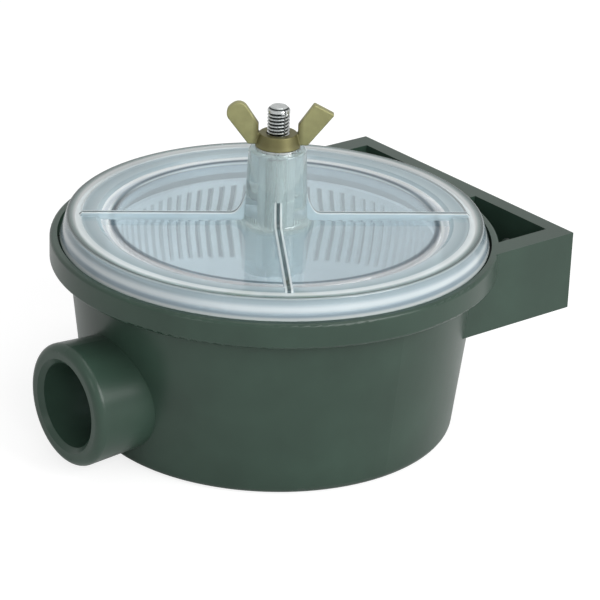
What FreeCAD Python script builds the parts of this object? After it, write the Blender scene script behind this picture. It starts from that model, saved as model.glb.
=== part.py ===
"""Sea water strainer: a bowl with a wall bracket, a clear lid held by one wing nut, and a basket.

Frame, in millimetres: the origin is the middle of the bowl's flat underside, +Z runs up the tie
stud, +Y points at the wall that the bracket bolts to, and the inlet socket points along -Y.
"""
import FreeCAD, Part
import math
import os

import Sketcher

doc = FreeCAD.newDocument("sea_water_strainer")

# ----------------------------------------------------------------------------- driving sizes
SIZES = {
    # bowl
    "base_radius": 66.3,          # outside, at the underside
    "bowl_top_radius": 73.2,      # outside, under the collar
    "bowl_wall": 4.0,
    "floor_thick": 4.0,
    "collar_radius": 79.9,
    "collar_bottom": 60.9,
    "collar_top": 70.2,
    "base_round": 3.0,
    "rim_round": 1.2,
    # seat of the lid
    "seat_depth": 4.7,            # below the top of the collar
    "seat_inner_radius": 69.4,
    "gasket_thick": 1.5,
    # pillar that holds the stud
    "pillar_radius": 8.5,
    "pillar_top": 28.0,
    # pipe sockets, G1 female
    "port_height": 25.8,
    "port_reach": 89.6,           # from the bowl's axis to the socket's face
    "port_mouth_radius": 22.0,
    "port_root_radius": 20.6,
    "port_lip_round": 3.0,
    "thread_radius": 15.15,       # minor radius of the thread
    "thread_length": 20.0,
    "thread_lead_in": 1.7,
    "port_bore_radius": 12.5,
    "port_root_fillet": 2.5,
    # wall bracket
    "plate_face": 90.0,           # from the bowl's axis to the wall
    "plate_thick": 6.0,
    "bracket_width": 118.0,
    "bracket_bottom": 41.0,
    "web_thick": 8.0,
    "middle_web": 25.0,
    "bolt_radius": 4.25,
    "bolt_spacing": 64.0,
    # lid
    "lid_top": 77.0,
    "lid_top_radius": 74.0,
    "lid_skirt_radius": 76.6,
    "skirt_land": 1.8,            # upright band at the foot of the skirt
    "recess_radius": 62.0,
    "recess_floor_radius": 57.5,
    "recess_depth": 7.6,
    "lid_wall": 3.2,
    "boss_top": 102.3,
    "boss_top_radius": 10.2,
    "boss_foot_radius": 11.4,
    "boss_skirt_end": 54.0,
    "rib_thick": 3.0,
    "rib_proud": 1.0,
    "rib_reach": 68.4,
    "rib_end_slope": 1.5,
    "gusset_rise": 10.0,
    "gusset_run": 6.0,
    "rib_sink": 1.0,              # how far the ribs run into the walls they grow from
    "rim_soft": 0.8,              # rounding of the lid's upper edges
    "recess_soft": 2.0,
    "lid_turn": 56.3,             # degrees, where the ribs happen to stand
    # stud, insert, seal, washer
    "stud_radius": 4.0,
    "stud_top": 118.0,
    "stud_foot": 12.0,
    "insert_radius": 6.0,
    "insert_foot": 8.0,
    "insert_groove": 0.7,
    "seal_cord": 1.5,             # half the thickness of the O-ring
    "stud_chamfer": 0.8,
    "washer_thick": 1.0,
    "washer_radius": 8.0,
    # wing nut, M8
    "nut_foot_radius": 8.0,
    "nut_crown_radius": 6.25,
    "nut_hub": 8.0,
    "nut_tall": 17.4,
    "nut_span": 39.0,
    "wing_thick": 3.2,
    "wing_root_low": 0.8,
    "wing_root_reach": 10.4,
    "wing_tip_low": 12.2,
    "wing_tip_inner": 13.2,
    "wing_sink": 1.2,
    "wing_round": 3.4,
    "nut_turn": 51.8,             # degrees, where the wings happen to stand
    # basket
    "basket_radius": 60.0,        # outside, at the rim
    "basket_foot_radius": 57.5,
    "basket_wall": 2.0,
    "basket_top": 65.4,
    "rim_band": 2.6,
    "slot_foot": 36.0,
    "slot_wide": 2.2,
    "slot_count": 80,
    "slots_left_out": 9,          # over the inlet hole
    "inlet_hole_radius": 12.5,
    "inlet_collar_wall": 1.8,
    "inlet_collar_reach": 60.9,
    "hub_top": 53.4,
    "hub_wall": 2.0,
    # clearances
    "rod_clear": 0.3,             # stud in the lid's bore and in the washer
    "thread_clear": 0.05,         # between the nut's bore and the stud
    "seal_clear": 0.1,            # between the O-ring and the stud
    "hub_clear": 0.5,             # basket's tube round the pillar
    "rebate_clear": 0.6,          # lid's skirt inside the collar
    "gasket_inset": 0.6,          # gasket back from the inner edge of the seat
}

sheet = doc.addObject("Spreadsheet::Sheet", "Sizes")
for row, (name, value) in enumerate(SIZES.items(), start=1):
    sheet.set(f"A{row}", name)
    sheet.set(f"B{row}", str(value))
    sheet.setAlias(f"B{row}", name)
doc.recompute()


def full(expression):
    """The expression with every size's name written as a cell of the sheet."""
    words = []
    word = ""
    for letter in expression + " ":
        if letter.isalnum() or letter == "_":
            word += letter
            continue
        words.append(f"Sizes.{word}" if word in SIZES else word)
        word = ""
        words.append(letter)
    return "".join(words).strip()


def value_of(expression):
    """What an expression of the sizes comes to now."""
    result = sheet.evalExpression(full(expression))
    return float(getattr(result, "Value", result))


# ----------------------------------------------------------------------------- helpers
def new_body(name):
    body = doc.addObject("PartDesign::Body", name)
    body.Label = name
    return body


def origin_feature(body, role):
    return next(item for item in body.Origin.OriginFeatures if item.Role == role)


def new_sketch(body, name, role, offset=None):
    sketch = body.newObject("Sketcher::SketchObject", name)
    sketch.AttachmentSupport = [(origin_feature(body, role), "")]
    sketch.MapMode = "FlatFace"
    if offset:
        sketch.setExpression("AttachmentOffset.Base.z", full(offset))
    return sketch


def pin(sketch, geometry, point, axis, expression):
    """Hold one point of the sketch at a distance from the sketch's origin."""
    kind = "Distance" + axis
    number = value_of(expression)
    if abs(number) < 1e-9:
        other = -2 if axis == "X" else -1
        sketch.addConstraint(Sketcher.Constraint("PointOnObject", geometry, point, other))
        return
    if number > 0:
        constraint = Sketcher.Constraint(kind, -1, 1, geometry, point, number)
    else:
        constraint = Sketcher.Constraint(kind, geometry, point, -1, 1, -number)
        expression = f"-({expression})"
    index = sketch.addConstraint(constraint)
    sketch.setExpression(f"Constraints[{index}]", full(expression))


def outline(sketch, corners):
    """A closed outline of straight edges; each corner is a pair of expressions."""
    spots = [FreeCAD.Vector(value_of(x), value_of(y), 0) for x, y in corners]
    first = sketch.GeometryCount
    count = len(spots)
    for i in range(count):
        sketch.addGeometry(Part.LineSegment(spots[i], spots[(i + 1) % count]), False)
    for i in range(count):
        here = first + i
        after = first + (i + 1) % count
        sketch.addConstraint(Sketcher.Constraint("Coincident", here, 2, after, 1))
        pin(sketch, here, 1, "X", corners[i][0])
        pin(sketch, here, 1, "Y", corners[i][1])


def circle(sketch, x, y, radius):
    centre = FreeCAD.Vector(value_of(x), value_of(y), 0)
    index = sketch.addGeometry(Part.Circle(centre, FreeCAD.Vector(0, 0, 1), value_of(radius)), False)
    pin(sketch, index, 3, "X", x)
    pin(sketch, index, 3, "Y", y)
    rule = sketch.addConstraint(Sketcher.Constraint("Radius", index, value_of(radius)))
    sketch.setExpression(f"Constraints[{rule}]", full(radius))


def centre_line(sketch, height, length):
    """A construction line along the sketch's X at a height: the axis of a turned shape."""
    start = FreeCAD.Vector(0, value_of(height), 0)
    end = FreeCAD.Vector(value_of(length), value_of(height), 0)
    index = sketch.addGeometry(Part.LineSegment(start, end), True)
    sketch.addConstraint(Sketcher.Constraint("PointOnObject", index, 1, -2))
    pin(sketch, index, 1, "Y", height)
    sketch.addConstraint(Sketcher.Constraint("Horizontal", index))
    pin(sketch, index, 2, "X", length)


def turn(body, name, role, corners, cut=False, height=None, length=None):
    """A solid of revolution about the body's Z, or about a level line at a height."""
    sketch = new_sketch(body, name + "_section", role)
    if height:
        centre_line(sketch, height, length)
    outline(sketch, corners)
    feature = body.newObject("PartDesign::Groove" if cut else "PartDesign::Revolution", name)
    feature.Profile = sketch
    feature.ReferenceAxis = (sketch, ["Axis0"]) if height else (origin_feature(body, "Z_Axis"), [""])
    feature.Angle = 360.0
    sketch.Visibility = False
    return feature


def pad(body, name, role, length, draw, offset=None, midplane=False, reverse=False):
    sketch = new_sketch(body, name + "_outline", role, offset)
    draw(sketch)
    feature = body.newObject("PartDesign::Pad", name)
    feature.Profile = sketch
    feature.setExpression("Length", full(length))
    feature.Midplane = midplane
    feature.Reversed = reverse
    sketch.Visibility = False
    return feature


def pocket(body, name, role, length, draw, offset=None, midplane=False, reverse=False):
    before = body.Shape.Volume
    sketch = new_sketch(body, name + "_outline", role, offset)
    draw(sketch)
    feature = body.newObject("PartDesign::Pocket", name)
    feature.Profile = sketch
    feature.setExpression("Length", full(length))
    feature.Midplane = midplane
    feature.Reversed = reverse
    sketch.Visibility = False
    doc.recompute()
    if feature.Shape.Volume > before - 1e-3:
        raise RuntimeError(name + " removed nothing")
    return feature


def edges_of(shape, wanted):
    """Names of the edges whose test holds."""
    return [f"Edge{i}" for i, edge in enumerate(shape.Edges, start=1) if wanted(edge)]


def ring_edges(shape, radius, height):
    """Names of the level circles of one radius and height about the Z axis."""
    def wanted(edge):
        curve = edge.Curve
        if not isinstance(curve, Part.Circle):
            return False
        middle = curve.Center
        level = abs(middle.z - height) < 0.01 and math.hypot(middle.x, middle.y) < 0.01
        return level and abs(curve.Radius - radius) < 0.01
    return edges_of(shape, wanted)


def dress(body, kind, name, edges, size):
    """A fillet or chamfer on named edges of the body's tip."""
    if not edges:
        raise RuntimeError(name + " found no edge")
    base = body.Tip
    feature = body.newObject("PartDesign::" + kind, name)
    feature.Base = (base, edges)
    feature.setExpression("Radius" if kind == "Fillet" else "Size", full(size))
    doc.recompute()
    return feature


# ----------------------------------------------------------------------------- housing
def port_section(mouth):
    """Half section of a pipe socket; mouth gives the sign of the axis that it points along."""
    return [
        (f"{mouth}(port_reach)", "port_height"),
        (f"{mouth}(port_reach)", "port_height + port_mouth_radius"),
        (f"{mouth}(base_radius - bowl_wall)", "port_height + port_root_radius"),
        (f"{mouth}(base_radius - bowl_wall)", "port_height"),
    ]


def port_bore(mouth):
    """Half section of the socket's bore: lead-in, thread, and the smaller way into the bowl."""
    return [
        (f"{mouth}(port_reach)", "port_height"),
        (f"{mouth}(port_reach)", "port_height + thread_radius + thread_lead_in"),
        (f"{mouth}(port_reach - thread_lead_in)", "port_height + thread_radius"),
        (f"{mouth}(port_reach - thread_length)", "port_height + thread_radius"),
        (f"{mouth}(port_reach - thread_length)", "port_height + port_bore_radius"),
        (f"{mouth}(base_radius - 3 * bowl_wall)", "port_height + port_bore_radius"),
        (f"{mouth}(base_radius - 3 * bowl_wall)", "port_height"),
    ]


def bracket_outline(sketch):
    """The E of plate, two side webs and a middle web; the webs end inside the bowl's wall."""
    half = "bracket_width / 2"
    inner = "bracket_width / 2 - web_thick"
    back = "plate_face - plate_thick"
    root = "base_radius / 2"
    outline(sketch, [
        (half, "plate_face"), (f"-({half})", "plate_face"), (f"-({half})", root),
        (f"-({inner})", root), (f"-({inner})", back), ("-middle_web / 2", back),
        ("-middle_web / 2", root), ("middle_web / 2", root), ("middle_web / 2", back),
        (inner, back), (inner, root), (half, root),
    ])


def bolt_holes(sketch):
    middle = "(bracket_bottom + collar_top) / 2"
    circle(sketch, "bolt_spacing / 2", middle, "bolt_radius")
    circle(sketch, "-bolt_spacing / 2", middle, "bolt_radius")


def make_housing():
    """One moulding: bowl, collar, pipe sockets, bracket and the pillar for the stud."""
    body = new_body("housing")
    turn(body, "bowl_outside", "XZ_Plane", [
        ("0", "0"), ("base_radius", "0"), ("bowl_top_radius", "collar_bottom"),
        ("collar_radius", "collar_bottom"), ("collar_radius", "collar_top"), ("0", "collar_top"),
    ])
    doc.recompute()
    foot = ring_edges(body.Shape, value_of("base_radius"), 0)
    dress(body, "Fillet", "base_rounding", foot, "base_round")
    rim = ring_edges(body.Shape, value_of("collar_radius"), value_of("collar_top"))
    rim += ring_edges(body.Shape, value_of("collar_radius"), value_of("collar_bottom"))
    dress(body, "Fillet", "rim_rounding", rim, "rim_round")
    pad(body, "bracket", "XY_Plane", "collar_top - bracket_bottom", bracket_outline,
        offset="bracket_bottom")
    turn(body, "inlet_socket", "YZ_Plane", port_section("-"), height="port_height",
         length="-port_reach")
    turn(body, "outlet_socket", "XZ_Plane", port_section("-"), height="port_height",
         length="-port_reach")
    doc.recompute()

    def lip(edge):
        curve = edge.Curve
        if not isinstance(curve, Part.Circle):
            return False
        reach = max(abs(curve.Center.x), abs(curve.Center.y))
        at_mouth = abs(reach - value_of("port_reach")) < 0.01
        return at_mouth and abs(curve.Radius - value_of("port_mouth_radius")) < 0.01

    dress(body, "Fillet", "socket_lips", edges_of(body.Shape, lip), "port_lip_round")
    rebate = "lid_skirt_radius + rebate_clear"
    turn(body, "cavity", "XZ_Plane", [
        ("0", "collar_top"), ("0", "pillar_top"), ("pillar_radius", "pillar_top"),
        ("pillar_radius", "floor_thick"), ("base_radius - bowl_wall", "floor_thick"),
        ("seat_inner_radius", SEAT), (rebate, SEAT), (rebate, "collar_top"),
    ], cut=True)
    turn(body, "inlet_bore", "YZ_Plane", port_bore("-"), cut=True, height="port_height",
         length="-port_reach")
    turn(body, "outlet_bore", "XZ_Plane", port_bore("-"), cut=True, height="port_height",
         length="-port_reach")
    turn(body, "insert_pocket", "XZ_Plane", [
        ("0", "insert_foot"), ("insert_radius", "insert_foot"),
        ("insert_radius", "pillar_top"), ("0", "pillar_top"),
    ], cut=True)
    doc.recompute()
    pocket(body, "bolt_bores", "XZ_Plane", "plate_thick", bolt_holes,
           offset="-(plate_face - plate_thick)")
    return body


# ----------------------------------------------------------------------------- stud and seals
def make_stud():
    """M8 tie stud, seated on the blind end of its insert."""
    body = new_body("stud")
    turn(body, "rod", "XZ_Plane", [
        ("0", "stud_foot"), ("stud_radius", "stud_foot"),
        ("stud_radius", "stud_top - stud_chamfer"),
        ("stud_radius - stud_chamfer", "stud_top"), ("0", "stud_top"),
    ])
    return body


def make_insert():
    """Blind brass bush moulded into the pillar, with one keying groove round it."""
    body = new_body("stud_insert")
    third = "(pillar_top - insert_foot) / 3"
    turn(body, "bush", "XZ_Plane", [
        ("0", "insert_foot"), ("insert_radius", "insert_foot"),
        ("insert_radius", f"insert_foot + {third}"),
        ("insert_radius - insert_groove", f"insert_foot + {third}"),
        ("insert_radius - insert_groove", f"pillar_top - {third}"),
        ("insert_radius", f"pillar_top - {third}"),
        ("insert_radius", "pillar_top"), ("stud_radius", "pillar_top"),
        ("stud_radius", "stud_foot"), ("0", "stud_foot"),
    ])
    return body


def make_gasket():
    """Flat rubber ring on the seat under the lid's skirt."""
    body = new_body("lid_gasket")
    turn(body, "ring", "XZ_Plane", [
        ("seat_inner_radius + gasket_inset", SEAT), ("lid_skirt_radius", SEAT),
        ("lid_skirt_radius", SKIRT_FOOT), ("seat_inner_radius + gasket_inset", SKIRT_FOOT),
    ])
    return body


def make_stud_seal():
    """O-ring round the stud in the pocket at the lower end of the lid's boss."""
    ring = doc.addObject("Part::Torus", "stud_seal")
    ring.Label = "stud_seal"
    ring.setExpression("Radius1", full("stud_radius + seal_clear + seal_cord"))
    ring.setExpression("Radius2", full("seal_cord"))
    ring.setExpression("Placement.Base.z", full("boss_skirt_end + seal_cord"))
    return ring


def make_washer():
    body = new_body("nut_washer")
    turn(body, "ring", "XZ_Plane", [
        ("stud_radius + rod_clear", "boss_top"), ("washer_radius", "boss_top"),
        ("washer_radius", NUT_FOOT), ("stud_radius + rod_clear", NUT_FOOT),
    ])
    return body


# ----------------------------------------------------------------------------- lid
def rib_profile(sketch):
    """Side view of one rib: over the dish and the rim, with a hollow gusset up the boss."""
    top = "lid_top + rib_proud"
    corners = [
        ("boss_top_radius", f"{top} + gusset_rise"),
        ("boss_top_radius - rib_sink", f"{top} + gusset_rise"),
        ("boss_top_radius - rib_sink", f"{RECESS_FLOOR} - rib_sink"),
        ("recess_floor_radius", f"{RECESS_FLOOR} - rib_sink"),
        ("recess_radius + rib_sink", "lid_top - rib_sink"),
        ("rib_reach", "lid_top - rib_sink"), ("rib_reach", "lid_top"),
        ("rib_reach - rib_end_slope", top),
        ("boss_foot_radius + gusset_run", top),
    ]
    outline(sketch, corners)
    hollow_side(sketch, len(corners) - 1)


def hollow_side(sketch, side):
    """Turn one straight side of the outline into an arc that leaves the boss upright."""
    line = sketch.Geometry[side]
    start, end = line.StartPoint, line.EndPoint
    run, rise = start.x - end.x, end.y - start.y
    radius = (run * run + rise * rise) / (2 * run)
    centre = FreeCAD.Vector(end.x + radius, end.y, 0)
    first = math.pi
    last = math.atan2(start.y - centre.y, start.x - centre.x) + 2 * math.pi
    sketch.toggleConstruction(side)
    circle_arc = Part.ArcOfCircle(Part.Circle(centre, FreeCAD.Vector(0, 0, 1), radius), first, last)
    arc = sketch.addGeometry(circle_arc, False)
    sketch.addConstraint(Sketcher.Constraint("Coincident", arc, 2, side, 1))
    sketch.addConstraint(Sketcher.Constraint("Coincident", arc, 1, side, 2))
    sketch.addConstraint(Sketcher.Constraint("Horizontal", arc, 3, arc, 1))


def make_lid():
    """Clear dished lid: boss for the stud, skirt into the collar, and four ribs on top."""
    body = new_body("lid")
    bore = "stud_radius + rod_clear"
    seal_pocket = "stud_radius + seal_clear + 2 * seal_cord"
    turn(body, "dish", "XZ_Plane", [
        (bore, "boss_top"), ("boss_top_radius", "boss_top"), ("boss_foot_radius", RECESS_FLOOR),
        ("recess_floor_radius", RECESS_FLOOR), ("recess_radius", "lid_top"),
        ("lid_top_radius", "lid_top"), ("lid_skirt_radius", f"{SKIRT_FOOT} + skirt_land"),
        ("lid_skirt_radius", SKIRT_FOOT), ("lid_skirt_radius - 2 * lid_wall", SKIRT_FOOT),
        ("lid_top_radius - lid_wall", "lid_top - lid_wall"),
        ("recess_radius + lid_wall", "lid_top - lid_wall"),
        ("recess_floor_radius + lid_wall", f"{RECESS_FLOOR} - lid_wall"),
        ("boss_foot_radius", f"{RECESS_FLOOR} - lid_wall"), ("boss_foot_radius", "boss_skirt_end"),
        (seal_pocket, "boss_skirt_end"), (seal_pocket, "boss_skirt_end + 2 * seal_cord"),
        (bore, "boss_skirt_end + 2 * seal_cord"),
    ])
    doc.recompute()
    top = value_of("lid_top")
    edges = ring_edges(body.Shape, value_of("lid_top_radius"), top)
    edges += ring_edges(body.Shape, value_of("recess_radius"), top)
    edges += ring_edges(body.Shape, value_of("boss_top_radius"), value_of("boss_top"))
    dress(body, "Fillet", "rim_softening", edges, "rim_soft")
    floor = value_of(RECESS_FLOOR)
    edges = ring_edges(body.Shape, value_of("recess_floor_radius"), floor)
    edges += ring_edges(body.Shape, value_of("boss_foot_radius"), floor)
    dress(body, "Fillet", "recess_softening", edges, "recess_soft")
    rib = pad(body, "rib", "XZ_Plane", "rib_thick", rib_profile, midplane=True)
    doc.recompute()
    pattern(body, "ribs", rib, 4, "360")
    body.Placement.Rotation = FreeCAD.Rotation(UP, value_of("lid_turn"))
    return body


def pattern(body, name, original, count, angle, reverse=False):
    """Copies of one feature about the body's Z axis."""
    feature = body.newObject("PartDesign::PolarPattern", name)
    feature.Originals = [original]
    feature.Axis = (origin_feature(body, "Z_Axis"), [""])
    feature.setExpression("Angle", full(angle))
    if isinstance(count, str):
        feature.setExpression("Occurrences", full(count))
    else:
        feature.Occurrences = count
    feature.Reversed = reverse
    body.Tip = feature
    doc.recompute()
    return feature


# ----------------------------------------------------------------------------- wing nut
def wing_profile(sketch):
    foot = NUT_FOOT
    root = "nut_crown_radius - wing_sink"
    outline(sketch, [
        (root, f"{foot} + wing_root_low"), ("wing_root_reach", f"{foot} + wing_root_low"),
        ("nut_span / 2", f"{foot} + wing_tip_low"), ("wing_tip_inner", f"{foot} + nut_tall"),
        ("nut_crown_radius", f"{foot} + nut_hub"), (root, f"{foot} + nut_hub"),
    ])


def make_wing_nut():
    """Cast brass M8 wing nut: a coned hub with two upswept wings."""
    body = new_body("wing_nut")
    bore = "stud_radius + thread_clear"
    turn(body, "hub", "XZ_Plane", [
        (bore, NUT_FOOT), ("nut_foot_radius", NUT_FOOT),
        ("nut_crown_radius", f"{NUT_FOOT} + nut_hub"), (bore, f"{NUT_FOOT} + nut_hub"),
    ])
    doc.recompute()
    wing = pad(body, "wing", "XZ_Plane", "wing_thick", wing_profile, midplane=True)
    doc.recompute()
    pattern(body, "wings", wing, 2, "360")
    tip_low = value_of(NUT_FOOT + " + wing_tip_low")
    tip_high = value_of(NUT_FOOT + " + nut_tall")

    def tip(edge):
        if not isinstance(edge.Curve, Part.Line):
            return False
        across = abs(edge.tangentAt(edge.FirstParameter).y) > 0.99
        height = edge.CenterOfMass.z
        return across and (abs(height - tip_low) < 0.01 or abs(height - tip_high) < 0.01)

    dress(body, "Fillet", "wing_tips", edges_of(body.Shape, tip), "wing_round")
    body.Placement.Rotation = FreeCAD.Rotation(UP, value_of("nut_turn"))
    return body


# ----------------------------------------------------------------------------- basket
def make_basket():
    """Slotted cage with a plain lower band, an inlet collar and a tube round the pillar."""
    body = new_body("basket")
    inner = "pillar_radius + hub_clear"
    outer = "pillar_radius + hub_clear + hub_wall"
    turn(body, "cup", "XZ_Plane", [
        (inner, "floor_thick"), ("basket_foot_radius", "floor_thick"),
        ("basket_radius", "basket_top"), ("basket_radius - basket_wall", "basket_top"),
        ("basket_foot_radius - basket_wall", "floor_thick + basket_wall"),
        (outer, "floor_thick + basket_wall"), (outer, "hub_top"), (inner, "hub_top"),
    ])
    collar = "port_height + inlet_hole_radius + inlet_collar_wall"
    middle = "basket_foot_radius - basket_wall"
    turn(body, "inlet_collar", "YZ_Plane", [
        ("-inlet_collar_reach", "port_height"), ("-inlet_collar_reach", collar),
        (f"-({middle})", collar), (f"-({middle})", "port_height"),
    ], height="port_height", length="-port_reach")
    hole = "port_height + inlet_hole_radius"
    turn(body, "inlet_hole", "YZ_Plane", [
        ("-port_reach", "port_height"), ("-port_reach", hole),
        (f"-({middle} - basket_wall)", hole), (f"-({middle} - basket_wall)", "port_height"),
    ], cut=True, height="port_height", length="-port_reach")
    doc.recompute()

    def slot_outline(sketch):
        high = "basket_top - rim_band"
        outline(sketch, [
            ("-slot_wide / 2", "slot_foot"), ("slot_wide / 2", "slot_foot"),
            ("slot_wide / 2", high), ("-slot_wide / 2", high),
        ])

    slot = pocket(body, "slot", "XZ_Plane", "basket_radius - basket_foot_radius + 2 * basket_wall",
                  slot_outline, offset="-basket_radius", reverse=True)
    half = "(slot_count - slots_left_out + 1) / 2"
    spread = f"({half} - 1) * 360 / slot_count"
    pattern(body, "slots_one_way", slot, half, spread)
    pattern(body, "slots_other_way", slot, half, spread, reverse=True)
    return body


# ----------------------------------------------------------------------------- the whole strainer
UP = FreeCAD.Vector(0, 0, 1)
SEAT = "(collar_top - seat_depth)"
SKIRT_FOOT = "(collar_top - seat_depth + gasket_thick)"
RECESS_FLOOR = "(lid_top - recess_depth)"
NUT_FOOT = "(boss_top + washer_thick)"

MAKERS = [
    make_housing, make_insert, make_stud, make_basket, make_gasket, make_lid, make_stud_seal,
    make_washer, make_wing_nut,
]
pieces = [make() for make in MAKERS]
doc.recompute()

for item in doc.Objects:
    if "Invalid" in item.State or "Error" in item.State:
        raise RuntimeError(f"{item.Name} is {item.State}")
for piece in pieces:
    if piece.Shape.isNull() or not piece.Shape.isValid():
        raise RuntimeError(piece.Label + " has no sound shape")
    if len(piece.Shape.Solids) != 1:
        raise RuntimeError(piece.Label + " is not one solid")

os.makedirs("parts", exist_ok=True)
for piece in pieces:
    piece.Shape.exportStep(f"parts/{piece.Label}.step")
    print(f"{piece.Label}: {piece.Shape.Volume / 1000:.2f} cm3, {len(piece.Shape.Faces)} faces")
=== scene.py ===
"""Looks for the sea water strainer: materials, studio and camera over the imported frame."""
import math

import bmesh
import bpy
from mathutils import Matrix, Quaternion, Vector


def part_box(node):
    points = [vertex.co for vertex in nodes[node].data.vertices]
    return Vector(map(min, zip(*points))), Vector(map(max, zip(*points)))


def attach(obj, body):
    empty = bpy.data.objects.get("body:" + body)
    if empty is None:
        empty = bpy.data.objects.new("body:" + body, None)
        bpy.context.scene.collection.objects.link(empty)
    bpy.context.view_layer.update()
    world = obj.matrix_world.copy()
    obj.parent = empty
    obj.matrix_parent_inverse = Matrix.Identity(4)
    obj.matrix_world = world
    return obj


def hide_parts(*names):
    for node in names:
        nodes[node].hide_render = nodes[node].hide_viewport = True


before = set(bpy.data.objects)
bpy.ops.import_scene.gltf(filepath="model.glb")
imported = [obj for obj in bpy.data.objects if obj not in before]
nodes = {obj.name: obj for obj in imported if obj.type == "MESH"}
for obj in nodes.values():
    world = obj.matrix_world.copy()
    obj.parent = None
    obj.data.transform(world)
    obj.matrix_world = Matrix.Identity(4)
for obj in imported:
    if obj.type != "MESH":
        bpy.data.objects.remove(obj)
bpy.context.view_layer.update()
MM = 0.001
LID_TURN = 56.3            # degrees from +X round to the first of the lid's four ribs


# ------------------------------------------------------------------ node material helpers
class Shader:
    """A material's node tree with short calls for the nodes that the finishes need."""

    def __init__(self, name):
        self.material = bpy.data.materials.new(name)
        self.material.use_nodes = True
        self.tree = self.material.node_tree
        self.tree.nodes.clear()
        self.output = self.tree.nodes.new("ShaderNodeOutputMaterial")
        self.base = self.tree.nodes.new("ShaderNodeBsdfPrincipled")
        self.link(self.base.outputs["BSDF"], self.output.inputs["Surface"])
        coordinates = self.tree.nodes.new("ShaderNodeTexCoord")
        self.place = coordinates.outputs["Object"]

    def link(self, source, target):
        self.tree.links.new(source, target)

    def put(self, socket, value):
        self.base.inputs[socket].default_value = value

    def node(self, kind, **settings):
        made = self.tree.nodes.new(kind)
        for key, value in settings.items():
            if hasattr(made, key):
                setattr(made, key, value)
            else:
                made.inputs[key].default_value = value
        return made

    def noise(self, scale, detail=4.0, roughness=0.55, stretch=None):
        made = self.node("ShaderNodeTexNoise", Scale=scale, Detail=detail, Roughness=roughness)
        source = self.place
        if stretch:
            mapping = self.node("ShaderNodeMapping", Scale=stretch)
            self.link(source, mapping.inputs["Vector"])
            source = mapping.outputs["Vector"]
        self.link(source, made.inputs["Vector"])
        return made.outputs["Fac"]

    def ramp(self, factor, stops):
        """A colour ramp; stops are (position, colour) pairs."""
        made = self.tree.nodes.new("ShaderNodeValToRGB")
        elements = made.color_ramp.elements
        while len(elements) < len(stops):
            elements.new(0.5)
        for element, (position, colour) in zip(elements, stops):
            element.position = position
            element.color = (*colour, 1.0)
        self.link(factor, made.inputs["Fac"])
        return made.outputs["Color"]

    def radius(self, start, end):
        """Distance from the Z axis, from 0 at start to 1 at end, both in metres."""
        flat = self.node("ShaderNodeVectorMath", operation="MULTIPLY")
        flat.inputs[1].default_value = (1, 1, 0)
        self.link(self.place, flat.inputs[0])
        length = self.node("ShaderNodeVectorMath", operation="LENGTH")
        self.link(flat.outputs["Vector"], length.inputs[0])
        made = self.node("ShaderNodeMapRange")
        made.inputs["From Min"].default_value = start
        made.inputs["From Max"].default_value = end
        self.link(length.outputs["Value"], made.inputs["Value"])
        return made.outputs["Result"]

    def height(self, low, high):
        """Height, from 0 at low to 1 at high, both in metres."""
        parts = self.node("ShaderNodeSeparateXYZ")
        self.link(self.place, parts.inputs["Vector"])
        made = self.node("ShaderNodeMapRange")
        made.inputs["From Min"].default_value = low
        made.inputs["From Max"].default_value = high
        self.link(parts.outputs["Z"], made.inputs["Value"])
        return made.outputs["Result"]

    def multiplied(self, first, second):
        mix = self.node("ShaderNodeMix", data_type="RGBA", blend_type="MULTIPLY")
        mix.inputs[0].default_value = 1.0
        self.link(first, mix.inputs[6])
        self.link(second, mix.inputs[7])
        return mix.outputs[2]

    def scaled(self, factor, low, high):
        made = self.node("ShaderNodeMapRange")
        made.inputs["To Min"].default_value = low
        made.inputs["To Max"].default_value = high
        self.link(factor, made.inputs["Value"])
        return made.outputs["Result"]

    def bump(self, height, strength, distance):
        made = self.node("ShaderNodeBump", Strength=strength, Distance=distance)
        self.link(height, made.inputs["Height"])
        return made.outputs["Normal"]


def srgb(red, green, blue):
    """A colour written as 0-255 display values, as the linear values that Blender wants."""
    def linear(value):
        share = value / 255
        return share / 12.92 if share <= 0.04045 else ((share + 0.055) / 1.055) ** 2.4
    return tuple(linear(value) for value in (red, green, blue))


# ------------------------------------------------------------------ finishes
def moulded_plastic():
    """Dark green-grey glass-filled plastic with a fine moulded grain."""
    shader = Shader("housing_plastic")
    cloud = shader.noise(38.0, detail=3.0)
    shader.link(shader.ramp(cloud, [(0.3, srgb(41, 58, 49)), (0.7, srgb(48, 67, 57))]),
                shader.base.inputs["Base Color"])
    grain = shader.noise(1400.0, detail=2.0)
    shader.link(shader.scaled(cloud, 0.26, 0.34), shader.base.inputs["Roughness"])
    shader.link(shader.bump(grain, 0.2, 0.00006), shader.base.inputs["Normal"])
    shader.put("Specular IOR Level", 0.3)
    return shader.material


def let_lamps_through(shader):
    """Rays from lamps pass straight through the clear plastic."""
    path = shader.node("ShaderNodeLightPath")
    clear = shader.node("ShaderNodeBsdfTransparent")
    mix = shader.node("ShaderNodeMixShader")
    shader.link(path.outputs["Is Shadow Ray"], mix.inputs["Fac"])
    shader.link(shader.base.outputs["BSDF"], mix.inputs[1])
    shader.link(clear.outputs["BSDF"], mix.inputs[2])
    shader.link(mix.outputs["Shader"], shader.output.inputs["Surface"])


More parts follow.
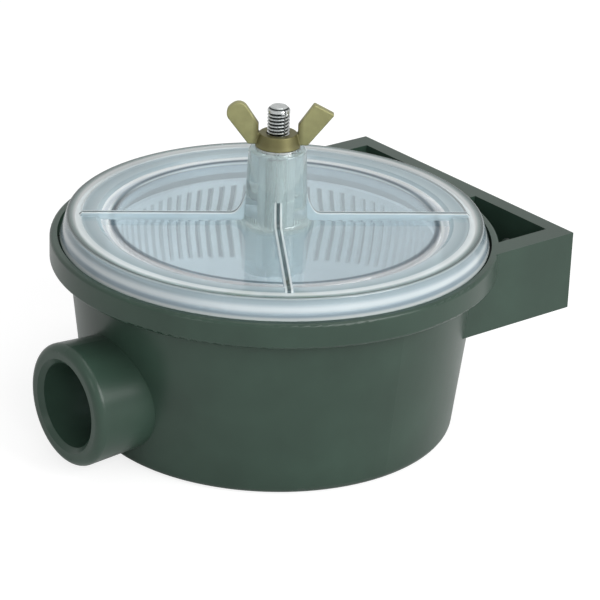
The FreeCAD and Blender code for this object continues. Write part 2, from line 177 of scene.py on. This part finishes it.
def clear_plastic(name, clearness, *tints_and_painted_light):
    """Clear plastic, slightly milky with age; its tints, with their painted lines of light and
    shade, are multiplied together.
    """
    shader = Shader(name)
    cloud = shader.noise(45.0, detail=3.0)
    colour = shader.ramp(cloud, [(0.3, (0.93, 0.94, 0.95)), (0.7, (1.0, 1.0, 1.0))])
    for tint_and_painted_light in tints_and_painted_light:
        colour = shader.multiplied(colour, tint_and_painted_light(shader))
    shader.link(colour, shader.base.inputs["Base Color"])
    shader.link(shader.scaled(cloud, 0.02, 0.05), shader.base.inputs["Roughness"])
    shader.put("IOR", 1.49)
    shader.put("Transmission Weight", clearness)
    let_lamps_through(shader)
    return shader.material


def greys(stops):
    """Ramp stops from (place, red, green, blue) rows of display values."""
    return [(place, srgb(*colour)) for place, *colour in stops]


def disc_tint_and_painted_lines(shader):
    """Tint round the boss and over the sunk plate, with a painted shade line and a painted
    highlight line at the plate's edge in place of its refraction.
    """
    return shader.ramp(shader.radius(0.0, 0.08), greys([
        (0.16, 200, 214, 214), (0.2, 190, 206, 212), (0.705, 198, 213, 220), (0.716, 70, 88, 100),
        (0.728, 84, 104, 116), (0.742, 255, 255, 255)]))


def rim_top_painted_lines(shader):
    """Painted light across the raised rim: grey and dark rings are painted shade and bright rings
    are painted highlights, in place of the refraction at its edges.
    """
    return shader.ramp(shader.radius(0.06, 0.077), greys([
        (0.12, 246, 250, 250), (0.22, 214, 224, 226), (0.43, 186, 200, 204), (0.55, 224, 231, 232),
        (0.64, 238, 243, 243), (0.72, 140, 160, 158), (0.79, 70, 90, 88), (0.84, 200, 208, 210),
        (0.88, 238, 243, 245)]))


def rim_side_painted_shadow_and_lines(shader):
    """Painted light down the skirt: bright and grey bands are painted highlights and shade lines,
    and its foot is painted dark as the shadow of the gap round it when the lid is shut.
    """
    return shader.ramp(shader.height(0.068, 0.078), greys([
        (0.12, 24, 46, 36), (0.17, 240, 250, 246), (0.23, 250, 252, 250), (0.31, 172, 188, 198),
        (0.4, 176, 190, 200), (0.5, 240, 244, 245), (0.57, 240, 244, 245), (0.7, 188, 200, 206),
        (0.84, 192, 204, 209), (0.87, 255, 255, 255)]))


def rib_painted_highlights(shader):
    """Painted highlights along a rib's two edges and painted shade between them."""
    turned = shader.node("ShaderNodeVectorRotate", rotation_type="Z_AXIS")
    turned.inputs["Angle"].default_value = -math.radians(LID_TURN)
    shader.link(shader.place, turned.inputs["Vector"])
    parts = shader.node("ShaderNodeSeparateXYZ")
    shader.link(turned.outputs["Vector"], parts.inputs["Vector"])
    sides = []
    for axis in ("X", "Y"):
        size = shader.node("ShaderNodeMath", operation="ABSOLUTE")
        shader.link(parts.outputs[axis], size.inputs[0])
        sides.append(size.outputs[0])
    nearer = shader.node("ShaderNodeMath", operation="MINIMUM")
    shader.link(sides[0], nearer.inputs[0])
    shader.link(sides[1], nearer.inputs[1])
    made = shader.node("ShaderNodeMapRange")
    made.inputs["From Max"].default_value = 0.0016
    shader.link(nearer.outputs[0], made.inputs["Value"])
    return shader.ramp(made.outputs["Result"], greys([
        (0.3, 70, 86, 90), (0.48, 236, 242, 242), (0.8, 246, 250, 250), (0.9, 196, 212, 218)]))


def basket_plastic():
    shader = Shader("basket_plastic")
    cloud = shader.noise(60.0)
    shader.link(shader.ramp(cloud, [(0.3, srgb(222, 226, 226)), (0.7, srgb(234, 236, 236))]),
                shader.base.inputs["Base Color"])
    shader.put("Roughness", 0.45)
    return shader.material


def black_rubber():
    shader = Shader("black_rubber")
    cloud = shader.noise(300.0)
    shader.link(shader.ramp(cloud, [(0.3, srgb(22, 22, 23)), (0.7, srgb(32, 32, 33))]),
                shader.base.inputs["Base Color"])
    shader.put("Roughness", 0.7)
    return shader.material


def stainless():
    shader = Shader("stainless")
    streak = shader.noise(900.0, stretch=(1.0, 1.0, 0.05))
    shade = shader.ramp(streak, [(0.2, srgb(176, 182, 180)), (0.8, srgb(214, 216, 216))])
    # Painted shade: the thread's roots, between about 3.2 and 3.4 mm radius, are darkened nearly
    # to black.
    groove_painted_shade = shader.ramp(shader.radius(0.0027, 0.0039), [
        (0.3, (1, 1, 1)), (0.42, (0.05, 0.06, 0.06)), (0.6, (0.05, 0.06, 0.06)), (0.9, (1, 1, 1))])
    shader.link(shader.multiplied(shade, groove_painted_shade), shader.base.inputs["Base Color"])
    shader.put("Metallic", 1.0)
    shader.link(shader.scaled(streak, 0.2, 0.36), shader.base.inputs["Roughness"])
    return shader.material


def cast_brass():
    shader = Shader("brass")
    cloud = shader.noise(220.0, detail=6.0)
    metal = shader.ramp(cloud, [(0.25, srgb(138, 136, 96)), (0.75, srgb(158, 156, 112))])
    # Painted shade: the brass inside about 7.5 to 9.2 mm radius, the hub between the wings, is
    # darkened to about half.
    hub_painted_shade = shader.ramp(shader.radius(0.0075, 0.0092), [(0.0, (0.5, 0.48, 0.44)), (1.0, (1, 1, 1))])
    shader.link(shader.multiplied(metal, hub_painted_shade), shader.base.inputs["Base Color"])
    shader.put("Metallic", 0.75)
    shader.link(shader.scaled(cloud, 0.38, 0.55), shader.base.inputs["Roughness"])
    grain = shader.noise(1500.0)
    shader.link(shader.bump(grain, 0.35, 0.0001), shader.base.inputs["Normal"])
    return shader.material


PLASTIC = moulded_plastic()
RUBBER = black_rubber()
STEEL = stainless()
BRASS = cast_brass()
CLEAR = clear_plastic("clear_plastic", 0.72, disc_tint_and_painted_lines)
RIM = clear_plastic("clear_plastic_rim", 0.45, rim_top_painted_lines, rim_side_painted_shadow_and_lines)
RIB = clear_plastic("clear_plastic_rib", 0.6, rib_painted_highlights)
FINISHES = {
    "housing": PLASTIC, "basket": basket_plastic(), "lid": CLEAR, "lid_gasket": RUBBER,
    "stud_seal": RUBBER, "stud": STEEL, "nut_washer": STEEL, "wing_nut": BRASS,
    "stud_insert": BRASS,
}
for name, finish in FINISHES.items():
    for holder in nodes[name].material_slots:
        holder.material = finish


# ------------------------------------------------------------------ mesh helpers
def loose(name, draw):
    """An object drawn by a function into a bmesh, not yet a piece."""
    mesh = bpy.data.meshes.new(name)
    shape = bmesh.new()
    draw(shape)
    shape.to_mesh(mesh)
    shape.free()
    made = bpy.data.objects.new(name, mesh)
    bpy.context.scene.collection.objects.link(made)
    return made


def piece(name, body, finish, draw, replaced):
    """A new piece in place of a CAD node; it rides on a body."""
    made = loose(name, draw)
    made.data.materials.append(finish)
    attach(made, body)
    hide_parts(replaced)
    return made


def spun(shape, corners, steps=144):
    """A closed ring solid about the Z axis; corners are (radius, height) in millimetres."""
    rows = []
    for step in range(steps):
        turn = 2 * math.pi * step / steps
        rows.append([shape.verts.new((r * MM * math.cos(turn), r * MM * math.sin(turn), z * MM))
                     for r, z in corners])
    count = len(corners)
    for step in range(steps):
        here, after = rows[step], rows[(step + 1) % steps]
        for i in range(count):
            j = (i + 1) % count
            shape.faces.new((here[i], here[j], after[j], after[i]))
    bmesh.ops.recalc_face_normals(shape, faces=shape.faces)


def plate(shape, corners, thick, soft):
    """A flat plate in the XZ plane, thick along Y about the middle, with softened edges (mm)."""
    sides = []
    for y in (-thick / 2, thick / 2):
        sides.append([shape.verts.new((x * MM, y * MM, z * MM)) for x, z in corners])
    count = len(corners)
    shape.faces.new(sides[0])
    shape.faces.new(list(reversed(sides[1])))
    for i in range(count):
        j = (i + 1) % count
        shape.faces.new((sides[0][j], sides[0][i], sides[1][i], sides[1][j]))
    bmesh.ops.recalc_face_normals(shape, faces=shape.faces)
    long_edges = [edge for edge in shape.edges
                  if abs(edge.verts[0].co.y - edge.verts[1].co.y) < 1e-9]
    bmesh.ops.bevel(shape, geom=long_edges, offset=soft * MM, offset_type="OFFSET", segments=3,
                    profile=0.5, affect="EDGES", clamp_overlap=True)


def round_corner(before, corner, after, radius, steps=6):
    """Points of the arc that rounds one corner of an outline."""
    a, b, c = Vector(before), Vector(corner), Vector(after)
    to_a, to_c = (a - b).normalized(), (c - b).normalized()
    half = to_a.angle(to_c) / 2
    reach = radius / math.tan(half)
    centre = b + (to_a + to_c).normalized() * (radius / math.sin(half))
    start, end = b + to_a * reach - centre, b + to_c * reach - centre
    points = []
    for i in range(steps + 1):
        share = i / steps
        points.append(tuple(centre + (start * (1 - share) + end * share).normalized() * radius))
    return points


def rounded(corners, radii):
    """An outline with chosen corners rounded; radii pairs a corner's number with its radius."""
    points = []
    count = len(corners)
    for i, corner in enumerate(corners):
        if i in radii:
            points += round_corner(corners[i - 1], corner, corners[(i + 1) % count], radii[i])
        else:
            points.append(corner)
    return points


def joined(target, others):
    """Unite solids into one closed mesh."""
    for other in others:
        cut = target.modifiers.new("union", "BOOLEAN")
        cut.operation = "UNION"
        cut.solver = "EXACT"
        cut.object = other
        settle(target)
        bpy.data.objects.remove(other)


def settle(made):
    """Apply every modifier of an object."""
    graph = bpy.context.evaluated_depsgraph_get()
    graph.update()
    old = made.data
    mesh = bpy.data.meshes.new_from_object(made.evaluated_get(graph))
    made.modifiers.clear()
    made.data = mesh
    mesh.name = old.name


def smooth_below(made, degrees):
    made.data.polygons.foreach_set("use_smooth", [True] * len(made.data.polygons))
    made.data.set_sharp_from_angle(angle=math.radians(degrees))


# ------------------------------------------------------------------ lid
LID_TOP = 77.0
PLATE_TOP = LID_TOP - 1.4
LID_WALL = 3.2
SKIRT_FOOT = 67.0
BOSS_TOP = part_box("lid")[1].z / MM
RIM_START = 60.5


def lid_section():
    """Half section: boss, sunk plate, raised rim, skirt, and the ring underneath."""
    bore = 4.3
    corners = [
        (bore, BOSS_TOP), (10.2, BOSS_TOP), (11.4, PLATE_TOP), (62.0, PLATE_TOP),
        (63.3, LID_TOP - 0.5), (68.4, LID_TOP - 0.5), (68.9, LID_TOP), (74.0, LID_TOP),
        (76.6, SKIRT_FOOT + 1.8), (76.6, SKIRT_FOOT), (70.2, SKIRT_FOOT),
        (70.8, LID_TOP - LID_WALL), (62.4, LID_TOP - LID_WALL), (59.2, LID_TOP - 7.6),
        (56.8, LID_TOP - 7.6), (56.8, PLATE_TOP - LID_WALL), (11.4, PLATE_TOP - LID_WALL),
        (11.4, 54.0), (7.1, 54.0), (7.1, 57.0), (bore, 57.0),
    ]
    return rounded(corners, {1: 0.8, 2: 1.5, 3: 0.5, 4: 0.5, 7: 0.9, 8: 0.5})


def rib_outline():
    top = LID_TOP + 1.0
    rise, run, foot, high = 15.0, 4.5, 11.4, 10.2
    corners = [(9.2, PLATE_TOP - 1.0), (69.4, PLATE_TOP - 1.0), (69.4, LID_TOP),
               (68.4, top), (foot + run, top)]
    span = foot + run - high
    for i in range(1, 9):
        turn = math.pi / 2 * i / 8
        corners.append((foot + run - span * math.sin(turn), top + rise * (1 - math.cos(turn))))
    corners.append((9.2, top + rise))
    return corners


def make_lid():
    lid = piece("clear_lid", "cover", CLEAR,
                lambda s: spun(s, lid_section(), 192), "lid")
    ribs = []
    for i in range(4):
        rib = loose("rib", lambda s: plate(s, rib_outline(), 3.0, 0.5))
        turn = Matrix.Rotation(math.radians(LID_TURN + 90 * i), 4, "Z")
        rib.data.transform(turn)
        for finish in (CLEAR, RIM, RIB):
            rib.data.materials.append(finish)
        for face in rib.data.polygons:
            face.material_index = 2
        ribs.append(rib)
    lid.data.materials.append(RIM)
    lid.data.materials.append(RIB)
    for face in lid.data.polygons:
        if math.hypot(face.center.x, face.center.y) > RIM_START * MM:
            face.material_index = 1
    joined(lid, ribs)
    smooth_below(lid, 28)
    return lid


# ------------------------------------------------------------------ stud
def helix_rows(shape, low, high, pitch, profile, limit, steps=48):
    """A right-handed screw surface about Z; profile lists (share of the pitch, radius)."""
    count = len(profile)
    turns = int((high - low) / pitch) + 3
    columns = []
    for step in range(steps):
        share = step / steps
        turn = 2 * math.pi * share
        column = []
        for row in range(turns * count):
            part, radius = profile[row % count]
            z = low - pitch + pitch * (share + row // count + part)
            z = min(max(z, low), high)
            radius = limit(z, radius)
            x, y = radius * math.cos(turn), radius * math.sin(turn)
            column.append(shape.verts.new((x * MM, y * MM, z * MM)))
        columns.append(column)
    for step in range(steps):
        here = columns[step]
        after = columns[(step + 1) % steps]
        shift = count if step == steps - 1 else 0
        for row in range(len(here) - 1 - shift):
            a, b = here[row + shift], here[row + shift + 1]
            c, d = after[row + 1], after[row]
            shape.faces.new((a, d, c, b))
    bmesh.ops.remove_doubles(shape, verts=shape.verts, dist=1e-6)
    bmesh.ops.dissolve_degenerate(shape, edges=shape.edges, dist=1e-6)


def draw_stud(shape):
    low, high = (corner.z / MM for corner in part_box("stud"))
    major, root, chamfer = 3.97, 3.3, 1.2

    def limit(z, radius):
        if low + 12 < z < high - 19 or z > high - 2.2:
            radius = major
        return min(radius, major - chamfer + (high - z), major - chamfer + (z - low))
    profile = [(0.0, root), (0.12, root), (0.45, major), (0.62, major)]
    helix_rows(shape, low, high, 1.25, profile, limit)
    bmesh.ops.holes_fill(shape, edges=shape.edges, sides=0)
    bmesh.ops.recalc_face_normals(shape, faces=shape.faces)


def make_stud():
    stud = piece("threaded_stud", "bowl", STEEL, draw_stud, "stud")
    smooth_below(stud, 40)
    return stud


# ------------------------------------------------------------------ wing nut
NUT_TURN = 51.8


def make_wing_nut():
    """Brass casting: hub and wings joined and softened as one skin."""
    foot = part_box("wing_nut")[0].z / MM
    hub_high, crown = 4.8, 6.7
    nut = piece("cast_wing_nut", "nut", BRASS, lambda s: spun(s, [
        (4.05, foot), (8.0, foot), (crown, foot + hub_high), (4.05, foot + hub_high)], 96),
        "wing_nut")
    wings = []
    for side, soft, tip in ((1, 0.5, (12.3, 16.0)), (-1, 3.4, (13.2, 17.3))):
        corners = [(5.4, 0.7), (10.5, 0.7), (19.6, 12.3), tip, (6.9, 8.0), (6.9, hub_high),
                   (5.4, hub_high)]
        ends = rounded(corners, {2: soft, 3: soft})
        outline = [(side * x, foot + z) for x, z in ends]
        wings.append(loose("wing", lambda s: plate(s, outline, 3.2, 0.3)))
    joined(nut, wings)
    skin = nut.modifiers.new("skin", "REMESH")
    skin.mode = "VOXEL"
    skin.voxel_size = 0.22 * MM
    soften = nut.modifiers.new("soften", "SMOOTH")
    soften.factor = 0.5
    soften.iterations = 4
    settle(nut)
    nut.data.transform(Matrix.Rotation(math.radians(NUT_TURN), 4, "Z"))
    nut.data.polygons.foreach_set("use_smooth", [True] * len(nut.data.polygons))
    return nut


make_lid()
make_stud()
make_wing_nut()


# ------------------------------------------------------------------ studio
def make_floor():
    """A pale floor that is white to the camera and keeps a soft shadow."""
    mesh = bpy.data.meshes.new("floor")
    reach = 3.0
    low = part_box("housing")[0].z
    corners = [(-reach, -reach, low), (reach, -reach, low), (reach, reach, low),
               (-reach, reach, low)]
    mesh.from_pydata(corners, [], [(0, 1, 2, 3)])
    floor = bpy.data.objects.new("floor", mesh)
    bpy.context.scene.collection.objects.link(floor)
    shader = Shader("floor")
    cloud = shader.noise(3.0)
    shader.link(shader.ramp(cloud, [(0.3, (0.86, 0.86, 0.86)), (0.7, (0.88, 0.88, 0.88))]),
                shader.base.inputs["Base Color"])
    shader.put("Roughness", 0.9)
    glow = shader.node("ShaderNodeEmission", Strength=1.25)
    path = shader.node("ShaderNodeLightPath")
    add = shader.node("ShaderNodeMixShader")
    share = shader.node("ShaderNodeMath", operation="MULTIPLY")
    share.inputs[1].default_value = 0.62
    shader.link(path.outputs["Is Camera Ray"], share.inputs[0])
    shader.link(share.outputs[0], add.inputs["Fac"])
    shader.link(shader.base.outputs["BSDF"], add.inputs[1])
    shader.link(glow.outputs["Emission"], add.inputs[2])
    shader.link(add.outputs["Shader"], shader.output.inputs["Surface"])
    mesh.materials.append(shader.material)
    return floor


def make_world():
    """White to the camera and in reflections, softer as a light."""
    world = bpy.data.worlds.new("studio")
    bpy.context.scene.world = world
    world.use_nodes = True
    tree = world.node_tree
    tree.nodes.clear()
    output = tree.nodes.new("ShaderNodeOutputWorld")
    path = tree.nodes.new("ShaderNodeLightPath")
    seen = tree.nodes.new("ShaderNodeBackground")
    seen.inputs["Strength"].default_value = 1.0
    light = tree.nodes.new("ShaderNodeBackground")
    light.inputs["Strength"].default_value = 0.6
    mix = tree.nodes.new("ShaderNodeMixShader")
    direct = tree.nodes.new("ShaderNodeMath")
    direct.operation = "MAXIMUM"
    tree.links.new(path.outputs["Is Camera Ray"], direct.inputs[0])
    tree.links.new(path.outputs["Is Glossy Ray"], direct.inputs[1])
    tree.links.new(direct.outputs[0], mix.inputs["Fac"])
    tree.links.new(light.outputs[0], mix.inputs[1])
    tree.links.new(seen.outputs[0], mix.inputs[2])
    tree.links.new(mix.outputs[0], output.inputs["Surface"])


def make_lamp(name, place, size, power, glossy=True):
    """A square soft box that points at the lid's middle."""
    data = bpy.data.lights.new(name, "AREA")
    data.size = size
    data.energy = power
    lamp = bpy.data.objects.new(name, data)
    bpy.context.scene.collection.objects.link(lamp)
    lamp.location = place
    lamp.visible_glossy = glossy
    aim = Vector((0, 0, 0.05)) - lamp.location
    lamp.rotation_euler = aim.to_track_quat("-Z", "Y").to_euler()
    return lamp


# ------------------------------------------------------------------ camera
CAMERA_ROUND = 51.8          # degrees round the stud from looking along +Y
CAMERA_RISE = 21.937         # degrees above the lid
CAMERA_DISTANCE = 0.96814    # from the middle of the lid's top
CAMERA_LENS = 163.65
CAMERA_YAW = -0.5747
CAMERA_PITCH = -1.7718
CAMERA_ROLL = -1.9221


def make_camera():
    data = bpy.data.cameras.new("camera")
    data.lens = CAMERA_LENS
    data.sensor_width = 36.0
    camera = bpy.data.objects.new("camera", data)
    bpy.context.scene.collection.objects.link(camera)
    around, rise = math.radians(CAMERA_ROUND), math.radians(CAMERA_RISE)
    level = math.cos(rise)
    back = Vector((math.sin(around) * level, -math.cos(around) * level, math.sin(rise)))
    target = Vector((0, 0, LID_TOP * MM))
    camera.location = target + back * CAMERA_DISTANCE
    turn = Quaternion((0, 1, 0), math.radians(CAMERA_YAW))
    nod = Quaternion((1, 0, 0), math.radians(CAMERA_PITCH))
    roll = Quaternion((0, 0, 1), -math.radians(CAMERA_ROLL))
    camera.rotation_mode = "QUATERNION"
    camera.rotation_quaternion = (-back).to_track_quat("-Z", "Y") @ turn @ nod @ roll
    bpy.context.scene.camera = camera
    return camera


make_floor()
make_world()
make_lamp("key", (1.1, 0.35, 0.7), 0.7, 11.0)
make_lamp("front", (0.98, -0.52, 0.55), 0.5, 4.5, glossy=False)
make_lamp("top", (0.1, 0.2, 1.3), 0.8, 3.5)
make_lamp("streak", (0.42, -1.05, 0.7), 0.25, 1.0)
make_camera()
bpy.context.scene.view_settings.view_transform = "Standard"
